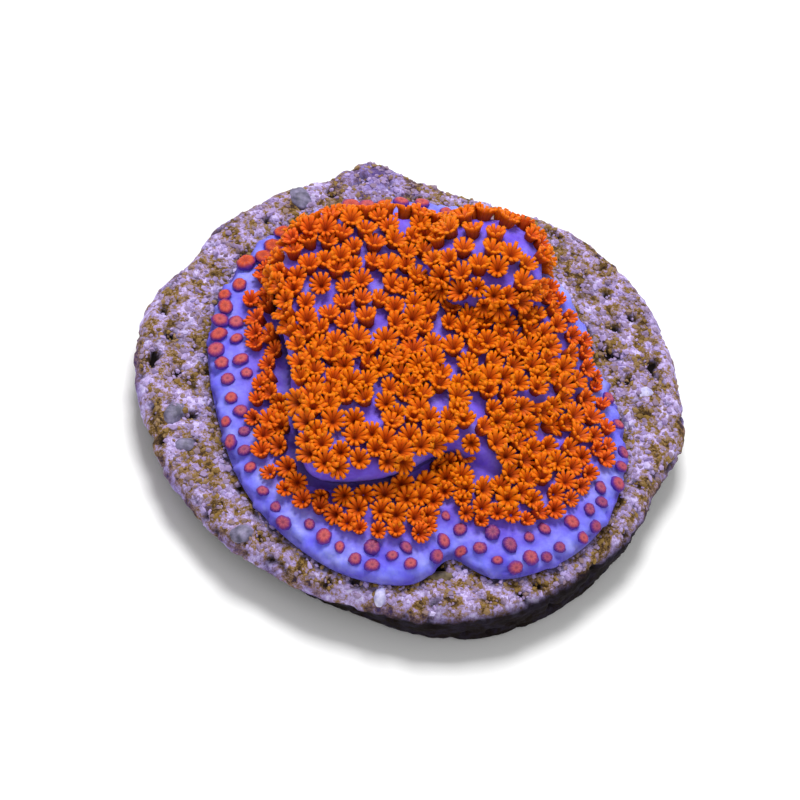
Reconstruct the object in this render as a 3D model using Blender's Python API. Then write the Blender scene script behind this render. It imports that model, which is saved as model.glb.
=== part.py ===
"""A montipora coral frag: one encrusting colony grown on a round disc of cast sand and cement.

+Z is up and the part stands on its flat base at z = 0, with the origin under the middle of its box.
The low front lip of the colony's upper tier faces -Y. Sizes below are in millimetres and angles in
degrees, counted from +X towards +Y. Each mesh is scaled to metres as it is made.
"""

import math
import random
from collections import namedtuple

import bmesh
import bpy
from mathutils import Matrix, Vector, noise

MM = 0.001

# A lobed outline: a circle about (x, y) with soft bumps, each (angle, half-width, rise).
Outline = namedtuple("Outline", "x y radius bumps")

# Frag disc
DISC = Outline(0.0, 0.0, 15.95, (
    (45, 28, 0.22), (86, 13, -0.95), (110, 5, 1.1), (160, 5, -0.55), (181, 14, 0.47),
    (250, 7, -0.4), (270, 8, -0.45), (295, 14, 0.22), (328, 14, -0.25), (350, 5, -0.45), (4, 7, 0.25)))
BOX_MIDDLE = (-0.116, 0.103)  # middle of the disc's box, which the origin is put under
DISC_TOP = 3.4
DISC_SEGMENTS = 64
FOOT_INSET = 0.15           # how far the foot stands in all round
UNDERCUT = 1.9              # and how much more it does under the rim
UPRIGHT_WALL_AT = 312       # the side where the wall stays upright instead
UPRIGHT_WALL_WIDTH = 42
WALL_ROUGHNESS = 0.16
ROUGHNESS_RUN = 1.8
STONE_SEED = 3.7

# Pebbles and a shell chip set in the disc's top: place, half sizes and turn
PEBBLE_SINK = 0.12
PEBBLES = (
    (-13.1, -5.9, 1.1, 0.75, 0.45, 70),
    (-12.0, -7.9, 0.8, 0.6, 0.4, 20),
    (-7.6, -13.0, 0.9, 0.7, 0.4, 40),
    (-9.2, 11.6, 1.1, 0.8, 0.4, 130),
    (0.9, -15.0, 0.42, 0.8, 0.5, 8),
    (4.0, -12.7, 1.2, 0.45, 0.3, 20),
    (13.4, 3.4, 0.7, 0.6, 0.35, 10))

# Colony
COLONY_FLOOR = 3.7          # its underside, 0.3 above the disc
CRUST = Outline(0.3, -1.0, 13.0, (
    (33, 22, -1.9), (52, 9, -0.55), (80, 14, 0.8), (120, 28, 1.0), (203, 20, -1.05), (265, 12, 0.5),
    (291, 5, -1.8), (325, 18, 0.8)))
CRUST_EDGE = 0.75           # thickness of the growing edge over the disc
CRUST_ROUNDING = 0.5
CRUST_RISE = 1.1            # what it gains further in
CRUST_RUN = 4.0
TIER = Outline(0.3, 0.0, 10.3, (
    (197, 26, -2.3), (243, 7, 1.2), (293, 20, -4.0), (345, 15, 0.8), (145, 16, 1.1), (95, 22, -0.5)))
TIER_TOP = 6.9
TIER_ROUNDING = 0.8
TIER_LIP = 1.3              # thickness of the lip
TIER_SWELL = 0.25           # height of the soft swells on top, and how far apart they are
TIER_SWELL_RUN = 4.5
TIER_FALL = 0.045           # how fast the tier sinks into the crust at the right
TIER_FALL_FROM = 2.0
TIER_FLOOR = COLONY_FLOOR + 0.3
TIER_LEAST = 0.4            # its least thickness where it has sunk into the crust
KNOB = Outline(2.7, 6.8, 3.5, ((15, 30, -0.4), (105, 30, -0.3), (218, 22, 0.4)))
KNOB_TOP = 8.7
KNOB_BASE = 7.4
KNOB_FLATNESS = 2.4         # 2 is a dome, and more is flatter
KNOB_SEGMENTS = 22
SEGMENTS = 40

# Polyps: cups that flare from a narrow stalk, scattered over the colony inside its bare edge
POLYP_SEED = 12
POLYP_TRIES = 16000
POLYP_FIELD = 15.0          # tries fall this far out from the crust's middle
POLYP_SPACING = 1.12
POLYP_SIZES = (0.86, 1.08)
POLYP_LEAN = 0.25           # how far they lean out at the crust's edge
POLYP_SIDES = 5
CROWN_RADIUS = 0.55
STALK_RADIUS = 0.28
POLYP_HEIGHT = 0.85
POLYP_ROOT = 0.3            # depth of the stalk's foot in the colony
CUP_DEPTH = 0.34
BARE_ABOVE_LIP = 0.3        # bare strips on both sides of a lip
BARE_BELOW_LIP = 0.3
BARE_ABOVE_KNOB = 0.1
BARE_BELOW_KNOB = 0.35
LEAST_LIP_STEP = 0.8        # a lower step than this carries polyps
BARE_EDGE = 1.7             # bare growing edge of the crust, and where it is wider
BARE_EDGE_BUMPS = ((188, 14, 1.2), (228, 14, -0.2), (265, 14, 0.7), (300, 14, 1.3), (330, 16, 0.6))
# Bare patches: place and radii along X and Y
BARE_PATCHES = (
    (-1.9, -5.5, 1.15, 0.9), (-3.5, -7.3, 0.75, 0.65), (-0.4, -6.6, 0.75, 0.65), (1.7, -3.6, 0.7, 1.15),
    (2.0, -0.9, 0.65, 1.25), (3.6, -3.0, 0.75, 0.65), (1.4, 1.2, 1.1, 0.75), (-6.3, 1.9, 0.7, 0.75),
    (-2.9, 8.3, 1.0, 0.65), (4.8, -5.9, 1.1, 0.95), (8.9, -2.4, 0.7, 0.85), (2.1, 8.3, 0.9, 0.65),
    (4.0, 8.0, 0.9, 0.8))

NORMAL_STEP = 0.15
SHARP_ANGLE = 40.0

STONE_COLOUR = (0.29, 0.20, 0.27, 1.0)
TISSUE_COLOUR = (0.16, 0.12, 0.76, 1.0)
POLYP_COLOUR = (0.48, 0.085, 0.006, 1.0)


def radius_at(outline, angle):
    """Radius of an outline at an angle in radians."""
    radius = outline.radius
    for at, width, rise in outline.bumps:
        radius += rise * soft_bump(angle, at, width)
    return radius


def soft_bump(angle, at, width):
    """1 at an angle of `at` degrees, falling to 0 over a few half-widths."""
    away = (math.degrees(angle) - at + 180.0) % 360.0 - 180.0
    return math.exp(-0.5 * (away / width) ** 2)


def inset(outline, x, y):
    """How far a place lies inside an outline, along the radius; negative outside."""
    dx, dy = x - outline.x, y - outline.y
    return radius_at(outline, math.atan2(dy, dx)) - math.hypot(dx, dy)


def rim_drop(inside, radius):
    """How far a rounded rim has fallen at a distance in from its outline."""
    out = max(0.0, 1.0 - max(inside, 0.0) / radius)
    return radius * (1.0 - math.sqrt(1.0 - out * out))


def crust_top(x, y):
    inside = inset(CRUST, x, y)
    rise = CRUST_RISE * (1.0 - math.exp(-max(inside, 0.0) / CRUST_RUN))
    return DISC_TOP + CRUST_EDGE + rise - rim_drop(inside, CRUST_ROUNDING)


def tier_top(x, y):
    fall = max(0.0, 0.95 * x - 0.3 * y - TIER_FALL_FROM)
    swell = TIER_SWELL * noise.noise(Vector((x, y, 0.0)) / TIER_SWELL_RUN + Vector((0.0, 0.0, 5.0)))
    return TIER_TOP + swell - TIER_FALL * fall * fall - rim_drop(inset(TIER, x, y), TIER_ROUNDING)


def knob_top(x, y):
    share = min(1.0, max(0.0, 1.0 - inset(KNOB, x, y) / KNOB.radius))
    return KNOB_BASE + (KNOB_TOP - KNOB_BASE) * math.sqrt(1.0 - share ** KNOB_FLATNESS)


def colony_form(x, y):
    """The form whose upper skin shows at a place: its height function."""
    form = crust_top
    if inset(TIER, x, y) > 0.0 and tier_top(x, y) > form(x, y):
        form = tier_top
    if inset(KNOB, x, y) > 0.0 and knob_top(x, y) > form(x, y):
        form = knob_top
    return form


def skin_normal(form, x, y):
    step = NORMAL_STEP
    dx = (form(x + step, y) - form(x - step, y)) / (2.0 * step)
    dy = (form(x, y + step) - form(x, y - step)) / (2.0 * step)
    return Vector((-dx, -dy, 1.0)).normalized()


def may_carry_polyp(x, y):
    """Whether a place is on the colony, away from its bare edge, lips and patches."""
    angle = math.atan2(y - CRUST.y, x - CRUST.x)
    edge = BARE_EDGE + sum(rise * soft_bump(angle, at, width) for at, width, rise in BARE_EDGE_BUMPS)
    if inset(CRUST, x, y) < edge:
        return False
    for px, py, rx, ry in BARE_PATCHES:
        if ((x - px) / rx) ** 2 + ((y - py) / ry) ** 2 < 1.0:
            return False
    lip_step = tier_top(x, y) - crust_top(x, y)
    if -BARE_BELOW_LIP < inset(TIER, x, y) < BARE_ABOVE_LIP and lip_step > LEAST_LIP_STEP:
        return False
    return not -BARE_BELOW_KNOB < inset(KNOB, x, y) < BARE_ABOVE_KNOB


def polyp_places():
    """Places of the open polyps: (centre, axis, size, turn), each clear of the ones before it."""
    draw = random.Random(POLYP_SEED)
    places = []
    for _ in range(POLYP_TRIES):
        x = CRUST.x + draw.uniform(-POLYP_FIELD, POLYP_FIELD)
        y = CRUST.y + draw.uniform(-POLYP_FIELD, POLYP_FIELD)
        size = draw.uniform(*POLYP_SIZES)
        turn = draw.uniform(0.0, math.tau)
        if not may_carry_polyp(x, y):
            continue
        form = colony_form(x, y)
        centre = Vector((x, y, form(x, y)))
        out = Vector((x - CRUST.x, y - CRUST.y, 0.0)) / CRUST.radius
        axis = (skin_normal(form, x, y) + POLYP_LEAN * out).normalized()
        crown = centre + axis * POLYP_HEIGHT
        if all((crown - other).length > POLYP_SPACING * 0.5 * (size + other_size)
               for other, other_size, _, _, _ in places):
            places.append((crown, size, centre, axis, turn))
    return [(centre, axis, size, turn) for _, size, centre, axis, turn in places]


def lobed_form(name, outline, rings, segments):
    """A closed lobed form: a sphere whose rings, top to bottom, are moved to given places.

    Each ring is (share, inset, height): it lies at a share of the outline's radius less the
    inset, and its height is a number or a function of the place and angle.
    """
    bm = bmesh.new()
    bmesh.ops.create_uvsphere(bm, u_segments=segments, v_segments=len(rings) - 1, radius=1.0)
    for vert in bm.verts:
        polar = math.acos(max(-1.0, min(1.0, vert.co.z)))
        share, inward, height = rings[round(polar / math.pi * (len(rings) - 1))]
        angle = math.atan2(vert.co.y, vert.co.x)
        if callable(inward):
            inward = inward(angle)
        radius = share * radius_at(outline, angle) - inward
        x = outline.x + radius * math.cos(angle)
        y = outline.y + radius * math.sin(angle)
        vert.co = (x, y, height(x, y) if callable(height) else height)
    return finish_mesh(name, bm)


def finish_mesh(name, bm):
    """An object in metres, with the box's middle over the origin, from a mesh in millimetres."""
    bmesh.ops.translate(bm, vec=(-BOX_MIDDLE[0], -BOX_MIDDLE[1], 0.0), verts=bm.verts)
    bmesh.ops.scale(bm, vec=(MM, MM, MM), verts=bm.verts)
    bmesh.ops.recalc_face_normals(bm, faces=bm.faces)
    mesh = bpy.data.meshes.new(name)
    bm.to_mesh(mesh)
    bm.free()
    return bpy.data.objects.new(name, mesh)


def material(name, colour, roughness):
    mat = bpy.data.materials.new(name)
    mat.use_nodes = True
    shader = mat.node_tree.nodes["Principled BSDF"]
    shader.inputs["Base Color"].default_value = colour
    shader.inputs["Roughness"].default_value = roughness
    shader.inputs["Metallic"].default_value = 0.0
    mat.diffuse_color = colour
    return mat


def shade(obj, *materials):
    for mat in materials:
        obj.data.materials.append(mat)
    obj.data.shade_smooth()
    obj.data.set_sharp_from_angle(angle=math.radians(SHARP_ANGLE))


def unite(obj, other):
    """Grow another form into an object; the other becomes a cutter, kept out of sight."""
    other.hide_render = True
    other.display_type = "WIRE"
    join = obj.modifiers.new("Join " + other.name, "BOOLEAN")
    join.operation = "UNION"
    join.solver = "EXACT"
    join.use_self = True
    join.material_mode = "TRANSFER"
    join.object = other


def stone_wall(angle):
    """How far the foot of the disc's wall stands in: undercut, but upright on one side."""
    return FOOT_INSET + UNDERCUT * (1.0 - soft_bump(angle, UPRIGHT_WALL_AT, UPRIGHT_WALL_WIDTH))


def rough(height, reach):
    """A ring height with the stone's own unevenness."""
    return lambda x, y: height + reach * noise.noise(
        Vector((x / ROUGHNESS_RUN, y / ROUGHNESS_RUN, STONE_SEED)))


def make_disc():
    """The frag disc: flat top and base, a chipped rim and a rough wall."""
    rings = (
        (0.0, 0.0, DISC_TOP),
        (0.5, 0.0, DISC_TOP),
        (0.86, 0.0, DISC_TOP),
        (1.0, 0.75, rough(DISC_TOP - 0.12, WALL_ROUGHNESS)),
        (1.0, 0.22, rough(DISC_TOP - 0.5, 1.5 * WALL_ROUGHNESS)),
        (1.0, 0.0, rough(DISC_TOP - 1.1, 1.5 * WALL_ROUGHNESS)),
        (1.0, lambda angle: 0.5 * stone_wall(angle), rough(1.1, 2.0 * WALL_ROUGHNESS)),
        (1.0, stone_wall, 0.3),
        (1.0, lambda angle: stone_wall(angle) + 0.5, 0.0),
        (0.45, 0.0, 0.0),
        (0.0, 0.0, 0.0))
    return lobed_form("frag_disc", DISC, rings, DISC_SEGMENTS)


def make_pebbles():
    """Pebbles and a shell chip, half sunk in the disc's top."""
    bm = bmesh.new()
    for x, y, along, across, high, turn in PEBBLES:
        place = Matrix.Translation((x, y, DISC_TOP - PEBBLE_SINK))
        turned = Matrix.Rotation(math.radians(turn), 4, "Z")
        size = Matrix.Diagonal((along, across, high, 1.0))
        bmesh.ops.create_icosphere(bm, subdivisions=1, radius=1.0, matrix=place @ turned @ size)
    return finish_mesh("pebbles", bm)


def make_crust():
    """The thin crust that creeps over the disc, with its rounded growing edge."""
    rings = (
        (0.0, 0.0, crust_top),
        (0.4, 0.0, crust_top),
        (0.65, 0.0, crust_top),
        (0.82, 0.0, crust_top),
        (1.0, 0.9, crust_top),
        (1.0, 0.25, crust_top),
        (1.0, 0.0, DISC_TOP + 0.55),
        (1.0, 0.12, COLONY_FLOOR),
        (0.5, 0.0, COLONY_FLOOR),
        (0.0, 0.0, COLONY_FLOOR))
    return lobed_form("coral_colony", CRUST, rings, SEGMENTS)


def make_tier():
    """The upper tier: a shelf whose rounded lip overhangs the crust at the left and the front.

    At the right it sinks into the crust, and runs on inside it a little over the colony's floor.
    """
    def top(x, y):
        return max(tier_top(x, y), TIER_FLOOR + TIER_LEAST)

    def under_lip(x, y):
        return max(top(x, y) - TIER_LIP, TIER_FLOOR + TIER_LEAST / 2.0)
    rings = (
        (0.0, 0.0, top),
        (0.35, 0.0, top),
        (0.62, 0.0, top),
        (0.82, 0.0, top),
        (1.0, 0.7, top),
        (1.0, 0.2, top),
        (1.0, 0.0, lambda x, y: top(x, y) - 0.1),
        (1.0, 0.3, under_lip),
        (1.0, 1.7, TIER_FLOOR),
        (0.0, 0.0, TIER_FLOOR))
    return lobed_form("tier", TIER, rings, SEGMENTS)


def make_knob():
    """The rounded knob at the back right, bulging a little over the tier in front of it."""
    rings = (
        (0.0, 0.0, knob_top),
        (0.45, 0.0, knob_top),
        (0.75, 0.0, knob_top),
        (0.93, 0.0, knob_top),
        (1.0, 0.0, KNOB_BASE),
        (1.0, 0.45, KNOB_BASE - 0.8),
        (1.0, 1.2, KNOB_BASE - 1.8),
        (0.0, 0.0, KNOB_BASE - 1.8))
    return lobed_form("knob", KNOB, rings, KNOB_SEGMENTS)


def make_polyps():
    """All the open polyps in one mesh: a flared cone each, with a hollow cup at its top."""
    bm = bmesh.new()
    for centre, axis, size, turn in polyp_places():
        length = (POLYP_HEIGHT + POLYP_ROOT) * size
        stand = axis.to_track_quat("Z", "Y").to_matrix().to_4x4() @ Matrix.Rotation(turn, 4, "Z")
        middle = centre + axis * (length / 2.0 - POLYP_ROOT * size)
        made = bmesh.ops.create_cone(
            bm, cap_ends=True, segments=POLYP_SIDES, radius1=STALK_RADIUS * size,
            radius2=CROWN_RADIUS * size, depth=length, matrix=Matrix.Translation(middle) @ stand)
        cap = max({face for vert in made["verts"] for face in vert.link_faces},
                  key=lambda face: face.calc_center_median().dot(axis))
        mouth = bmesh.ops.poke(bm, faces=[cap])["verts"][0]
        mouth.co -= axis * CUP_DEPTH * size
    return finish_mesh("polyps", bm)


def main():
    for obj in list(bpy.data.objects):
        bpy.data.objects.remove(obj, do_unlink=True)

    scene = bpy.context.scene
    parts = bpy.data.collections.new("montipora_coral")
    cutters = bpy.data.collections.new("cutters")
    scene.collection.children.link(parts)
    scene.collection.children.link(cutters)

    stone = material("sand_cement", STONE_COLOUR, 0.85)
    tissue = material("coral_tissue", TISSUE_COLOUR, 0.45)
    polyp = material("coral_polyps", POLYP_COLOUR, 0.4)

    disc = make_disc()
    pebbles = make_pebbles()
    shade(disc, stone)
    shade(pebbles, stone)
    unite(disc, pebbles)

    colony = make_crust()
    shade(colony, tissue)
    grown = [make_tier(), make_knob(), make_polyps()]
    for form, skin in zip(grown, (tissue, tissue, polyp)):
        shade(form, skin)
        unite(colony, form)

    for obj in (disc, colony):
        parts.objects.link(obj)
    for obj in (pebbles, *grown):
        cutters.objects.link(obj)


main()
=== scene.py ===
import math
import random
from collections import namedtuple

import bpy
from mathutils import Matrix, Vector, kdtree, noise


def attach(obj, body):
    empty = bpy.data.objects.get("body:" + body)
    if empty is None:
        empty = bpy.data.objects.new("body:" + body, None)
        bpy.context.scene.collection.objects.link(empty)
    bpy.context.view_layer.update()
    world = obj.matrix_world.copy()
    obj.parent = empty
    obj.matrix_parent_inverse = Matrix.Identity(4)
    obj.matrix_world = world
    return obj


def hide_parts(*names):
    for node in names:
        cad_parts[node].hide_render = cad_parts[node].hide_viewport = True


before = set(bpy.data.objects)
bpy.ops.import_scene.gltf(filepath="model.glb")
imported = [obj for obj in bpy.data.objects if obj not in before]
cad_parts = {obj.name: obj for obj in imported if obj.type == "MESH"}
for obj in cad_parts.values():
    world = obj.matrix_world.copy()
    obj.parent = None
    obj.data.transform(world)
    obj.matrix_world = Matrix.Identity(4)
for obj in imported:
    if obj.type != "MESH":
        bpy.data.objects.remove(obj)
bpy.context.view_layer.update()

# Sizes are in millimetres here, and each finished piece is scaled to metres. Angles are in degrees.
MM = 0.001

# A lobed outline: a circle about (x, y) with soft bumps, each (angle, half-width, rise).
Outline = namedtuple("Outline", "x y radius bumps")

# Frag disc
DISC = Outline(0.0, 0.0, 15.95, (
    (45, 28, 0.22), (86, 13, -0.95), (110, 5, 1.1), (160, 5, -0.55), (181, 14, 0.47),
    (250, 7, -0.4), (270, 8, -0.45), (295, 14, 0.22), (328, 14, -0.25), (350, 5, -0.45),
    (4, 7, 0.25)))
BOX_MIDDLE = (-0.116, 0.103)    # the middle of the whole box, seen from the disc's centre
DISC_TOP = 3.4
RIM_DEPTH = 1.1                 # the rounded rim reaches this far down from the top
FOOT_INSET = 0.15
UNDERCUT = 1.9
UPRIGHT_WALL_AT = 312
UPRIGHT_WALL_WIDTH = 42
SHADED_WALL_WIDTH = 38            # half-width of the side where the wall is painted in shade up to its rim
DISC_SEGMENTS = 560
TOP_RINGS = 46
WALL_RINGS = 16

# Colony
CRUST = Outline(0.3, -1.0, 13.0, (
    (33, 22, -1.9), (52, 9, -0.55), (80, 14, 0.8), (120, 28, 1.0), (203, 20, -1.05), (265, 12, 0.5),
    (291, 5, -1.8), (325, 18, 0.8)))
CRUST_EDGE = 0.75
CRUST_ROUNDING = 0.5
CRUST_RISE = 1.1
CRUST_RUN = 4.0
TIER = Outline(0.3, 0.0, 10.3, (
    (197, 26, -2.3), (243, 7, 1.2), (293, 20, -4.0), (345, 15, 0.8), (145, 16, 1.1),
    (95, 22, -0.5)))
TIER_TOP = 6.9
TIER_ROUNDING = 0.8
TIER_LIP = 1.3
TIER_SWELL = 0.25
TIER_SWELL_RUN = 4.5
TIER_FALL = 0.045
TIER_FALL_FROM = 2.0
KNOB = Outline(2.7, 6.8, 3.5, ((15, 30, -0.4), (105, 30, -0.3), (218, 22, 0.4)))
KNOB_TOP = 8.7
KNOB_BASE = 7.4
KNOB_FLATNESS = 2.4
CRUST_FLOOR = DISC_TOP - 0.12   # the colony's foot is bedded in the stone
TIER_FLOOR = DISC_TOP + 0.6
LEAST_LIP_HEIGHT = DISC_TOP + 0.8
SKIN_VOXEL = 0.13
SKIN_SMOOTHING = 6
MOUND_HEIGHT = 0.13             # the skin rises in a low mound round each polyp's foot
MOUND_RADIUS = 0.42

# Open polyps: the places of the solids' polyps first, then those in the gaps and on the walls
POLYP_SEED = 12
POLYP_TRIES = 16000
POLYP_FIELD = 15.0
POLYP_SPACING = 1.12
POLYP_SIZES = (0.86, 1.08)
POLYP_LEAN = 0.25
POLYP_HEIGHT = 0.85
BARE_ABOVE_LIP = 0.3
BARE_BELOW_LIP = 0.3
BARE_ABOVE_KNOB = 0.1
BARE_BELOW_KNOB = 0.35
LEAST_LIP_STEP = 0.8
BARE_EDGE = 1.7
BARE_EDGE_BUMPS = (
    (188, 14, 1.2), (228, 14, -0.2), (265, 14, 0.7), (300, 14, 1.3), (330, 16, 0.6))
BARE_PATCHES = (                # ellipses without polyps: x, y and half sizes
    (-1.9, -5.5, 1.15, 0.9), (-3.5, -7.3, 0.75, 0.65), (-0.4, -6.6, 0.75, 0.65),
    (1.7, -3.6, 0.7, 1.15), (2.0, -0.9, 0.65, 1.25), (3.6, -3.0, 0.75, 0.65), (1.4, 1.2, 1.1, 0.75),
    (-6.3, 1.9, 0.7, 0.75), (-2.9, 8.3, 1.0, 0.65), (4.8, -5.9, 1.1, 0.95), (8.9, -2.4, 0.7, 0.85),
    (2.1, 8.3, 0.9, 0.65), (4.0, 8.0, 0.9, 0.8))
GAP_TRIES = 14000
GAP_SPACING = 0.84
GAP_REACH = (20, 32, 0.75)      # where, and how far, the polyps in the gaps come nearer to the edge
KNOB_CROWN = 0.6                # further in than this the knob's gaps stay bare
BACK_GAPS = (-3.8, 3.8, 5.6, 4.8, 0.14)     # an ellipse on the tier and the added spacing there
WALL_ANGLES = (-25.0, 165.0)    # the sides on which the tier's and the knob's walls carry polyps
WALL_STEEPNESS = 0.65           # skin whose normal rises less than this is a wall
WALL_FOOT = 0.5                 # walls are bare up to this height over the crust
WALL_SPACING = 0.95

# An open polyp: stalk, bowl, and (tentacles, how far they spread) of each model
CROWN_SIZE = 1.36               # the crowns are this much wider than the plain cups of the solid
STALK_RADIUS = 0.24
BOWL_RADIUS = 0.38
BOWL_RIM = 0.36                 # height of the bowl's rim over the skin
POLYP_FOOT = 0.25
NOISE_SEED = 1                  # not 0, which takes the clock and changes noise_vector each run
POLYP_MODELS = (
    (10, 0.42), (11, 0.5), (9, 0.36), (10, 0.55), (9, 0.46), (11, 0.4), (8, 0.5), (10, 0.32))
TILT = 0.3                      # how far open polyps lean at random
LIP_LEAN = 0.7                  # and away from the wall under the tier's lip
LIP_LEAN_REACH = 1.5
LEAST_RISE = 0.45               # no polyp hangs down
EDGE_FADE = 1.6                 # nearer to the bare edge than this they are smaller and redder
BACK_LEFT = (142, 30)           # where all polyps near the edge are redder

# Retracted polyps on the growing edge, and the number of folds of each model
BUD_TRIES = 5000
BUD_REACH = (0.3, 3.6)          # how far in from the crust's outline they stand
BUD_OVERLAP = 0.4               # how far they reach in among the open ones
BUD_TIER_GAP = 0.5
BUD_RADIUS = 0.42
BUD_SIZES = (0.84, 1.26)
BUD_GROWTH = 0.35               # added to their size at the back left
BUD_SPACING = 0.96
BUD_MODELS = (9, 11, 8, 10, 12)

# Sand grains that stand out of the disc's top
GRAINS = 3000
GRAIN_SEED = 29
GRAIN_MODELS = 6
GRAIN_SIZES = (0.1, 0.12, 0.14, 0.17, 0.22)

# Pebbles and a shell chip in the disc's top: name, place, half sizes and turn
PEBBLE_DEPTH = 0.16
PEBBLE_SIZE = 0.8
PEBBLES = (
    ("grey_pebble_left", -13.1, -5.9, 1.1, 0.75, 0.45, 70),
    ("grey_pebble_low", -12.0, -7.9, 0.8, 0.6, 0.4, 20),
    ("grey_pebble_front", -7.6, -13.0, 0.9, 0.7, 0.4, 40),
    ("grey_pebble_back", -9.2, 11.6, 1.1, 0.8, 0.4, 130),
    ("shell_chip", 0.9, -15.0, 0.42, 0.8, 0.5, 8),
    ("brown_nodule", 4.0, -12.7, 1.2, 0.45, 0.3, 20),
    ("pale_pebble_right", 13.4, 3.4, 0.7, 0.6, 0.35, 10))

# The photograph's camera
CAMERA_ELEVATION = 54.0
CAMERA_ROLL = 13.4
CAMERA_DISTANCE = 300.0
PIXELS_PER_MM = 17.1
AIM = Vector((0.071, -1.139, 3.4))      # this point of the part is seen at AIM_PIXEL
AIM_PIXEL = (410.0, 398.0)
PICTURE = 800.0

# Lamps: name, place in metres, size and power
LAMPS = (
    ("key", (-0.03, 0.12, 0.24), 0.10, 0.62),
    ("fill", (0.10, -0.16, 0.16), 0.20, 0.10))
WORLD_STRENGTH = 0.42


# Forms that the solids share

def radius_at(outline, angle):
    """An outline's radius in a direction from its centre."""
    radius = outline.radius
    for at, width, rise in outline.bumps:
        radius += rise * soft_bump(angle, at, width)
    return radius


def soft_bump(angle, at, width):
    """1 in the direction at, and falling off softly to both sides of it."""
    away = (math.degrees(angle) - at + 180.0) % 360.0 - 180.0
    return math.exp(-0.5 * (away / width) ** 2)


def inset(outline, x, y):
    """How far a place lies inside an outline, along the radius; negative outside."""
    dx, dy = x - outline.x, y - outline.y
    return radius_at(outline, math.atan2(dy, dx)) - math.hypot(dx, dy)


def rim_drop(inside, radius):
    """How far a rounded rim has fallen at a distance in from its outline."""
    out = max(0.0, 1.0 - max(inside, 0.0) / radius)
    return radius * (1.0 - math.sqrt(1.0 - out * out))


def crust_top(x, y):
    """Height of the thin crust."""
    inside = inset(CRUST, x, y)
    rise = CRUST_RISE * (1.0 - math.exp(-max(inside, 0.0) / CRUST_RUN))
    return DISC_TOP + CRUST_EDGE + rise - rim_drop(inside, CRUST_ROUNDING)


def tier_top(x, y):
    """Height of the upper tier, which falls away to the right."""
    fall = max(0.0, 0.95 * x - 0.3 * y - TIER_FALL_FROM)
    swell = TIER_SWELL * noise.noise(Vector((x, y, 0.0)) / TIER_SWELL_RUN + Vector((0.0, 0.0, 5.0)))
    return TIER_TOP + swell - TIER_FALL * fall * fall - rim_drop(inset(TIER, x, y), TIER_ROUNDING)


def knob_top(x, y):
    """Height of the rounded knob."""
    share = min(1.0, max(0.0, 1.0 - inset(KNOB, x, y) / KNOB.radius))
    return KNOB_BASE + (KNOB_TOP - KNOB_BASE) * math.sqrt(1.0 - share ** KNOB_FLATNESS)


def colony_form(x, y):
    """The form whose upper skin shows at a place: its height function."""
    form = crust_top
    if inset(TIER, x, y) > 0.0 and tier_top(x, y) > form(x, y):
        form = tier_top
    if inset(KNOB, x, y) > 0.0 and knob_top(x, y) > form(x, y):
        form = knob_top
    return form


def skin_normal(form, x, y):
    """The upright direction of a form's skin at a place."""
    step = 0.15
    dx = (form(x + step, y) - form(x - step, y)) / (2.0 * step)
    dy = (form(x, y + step) - form(x, y - step)) / (2.0 * step)
    return Vector((-dx, -dy, 1.0)).normalized()


def bare_edge(x, y):
    """Width of the bare growing edge on the way out from the crust's middle through a place."""
    angle = math.atan2(y - CRUST.y, x - CRUST.x)
    bumps = sum(rise * soft_bump(angle, at, width) for at, width, rise in BARE_EDGE_BUMPS)
    return BARE_EDGE + bumps


def may_carry_polyp(x, y, nearer=0.0):
    """Whether a place is on the colony, away from its bare edge, lips and patches."""
    if inset(CRUST, x, y) < bare_edge(x, y) - nearer:
        return False
    for px, py, rx, ry in BARE_PATCHES:
        if ((x - px) / rx) ** 2 + ((y - py) / ry) ** 2 < 1.0:
            return False
    lip_step = tier_top(x, y) - crust_top(x, y)
    if -BARE_BELOW_LIP < inset(TIER, x, y) < BARE_ABOVE_LIP and lip_step > LEAST_LIP_STEP:
        return False
    return not -BARE_BELOW_KNOB < inset(KNOB, x, y) < BARE_ABOVE_KNOB


def gap_room(x, y):
    """How much more room than elsewhere a polyp in a gap needs: at the back of the tier they stand
    further apart, and the knob's crown stays bare."""
    if inset(KNOB, x, y) > KNOB_CROWN:
        return math.inf
    middle_x, middle_y, half_x, half_y, more = BACK_GAPS
    at_back = ((x - middle_x) / half_x) ** 2 + ((y - middle_y) / half_y) ** 2 < 1.0
    return more if at_back and inset(TIER, x, y) > 0.0 else 0.0


def scatter(draw, tries, spacing, places, reach=(0, 1, 0.0)):
    """Add open polyps to places: (crown, size, centre, axis, turn), clear of the ones before.

    Reach is (angle, half-width, distance): there they come that much nearer to the edge.
    """
    at, width, distance = reach
    for _ in range(tries):
        x = CRUST.x + draw.uniform(-POLYP_FIELD, POLYP_FIELD)
        y = CRUST.y + draw.uniform(-POLYP_FIELD, POLYP_FIELD)
        size = draw.uniform(*POLYP_SIZES)
        turn = draw.uniform(0.0, math.tau)
        nearer = distance * soft_bump(math.atan2(y - CRUST.y, x - CRUST.x), at, width)
        if not may_carry_polyp(x, y, nearer):
            continue
        room = spacing + (gap_room(x, y) if distance else 0.0)
        form = colony_form(x, y)
        centre = Vector((x, y, form(x, y)))
        out = Vector((x - CRUST.x, y - CRUST.y, 0.0)) / CRUST.radius
        axis = (skin_normal(form, x, y) + POLYP_LEAN * out).normalized()
        crown = centre + axis * POLYP_HEIGHT
        if all((crown - other).length > room * 0.5 * (size + other_size)
               for other, other_size, _, _, _ in places):
            places.append((crown, size, centre, axis, turn))


def polyp_places():
    """Places of the open polyps: first those of the solids, then more in the gaps between them."""
    places = []
    scatter(random.Random(POLYP_SEED), POLYP_TRIES, POLYP_SPACING, places)
    scatter(random.Random(POLYP_SEED + 2), GAP_TRIES, GAP_SPACING, places, GAP_REACH)
    return [(centre, axis, size, turn) for _, size, centre, axis, turn in places]


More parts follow.
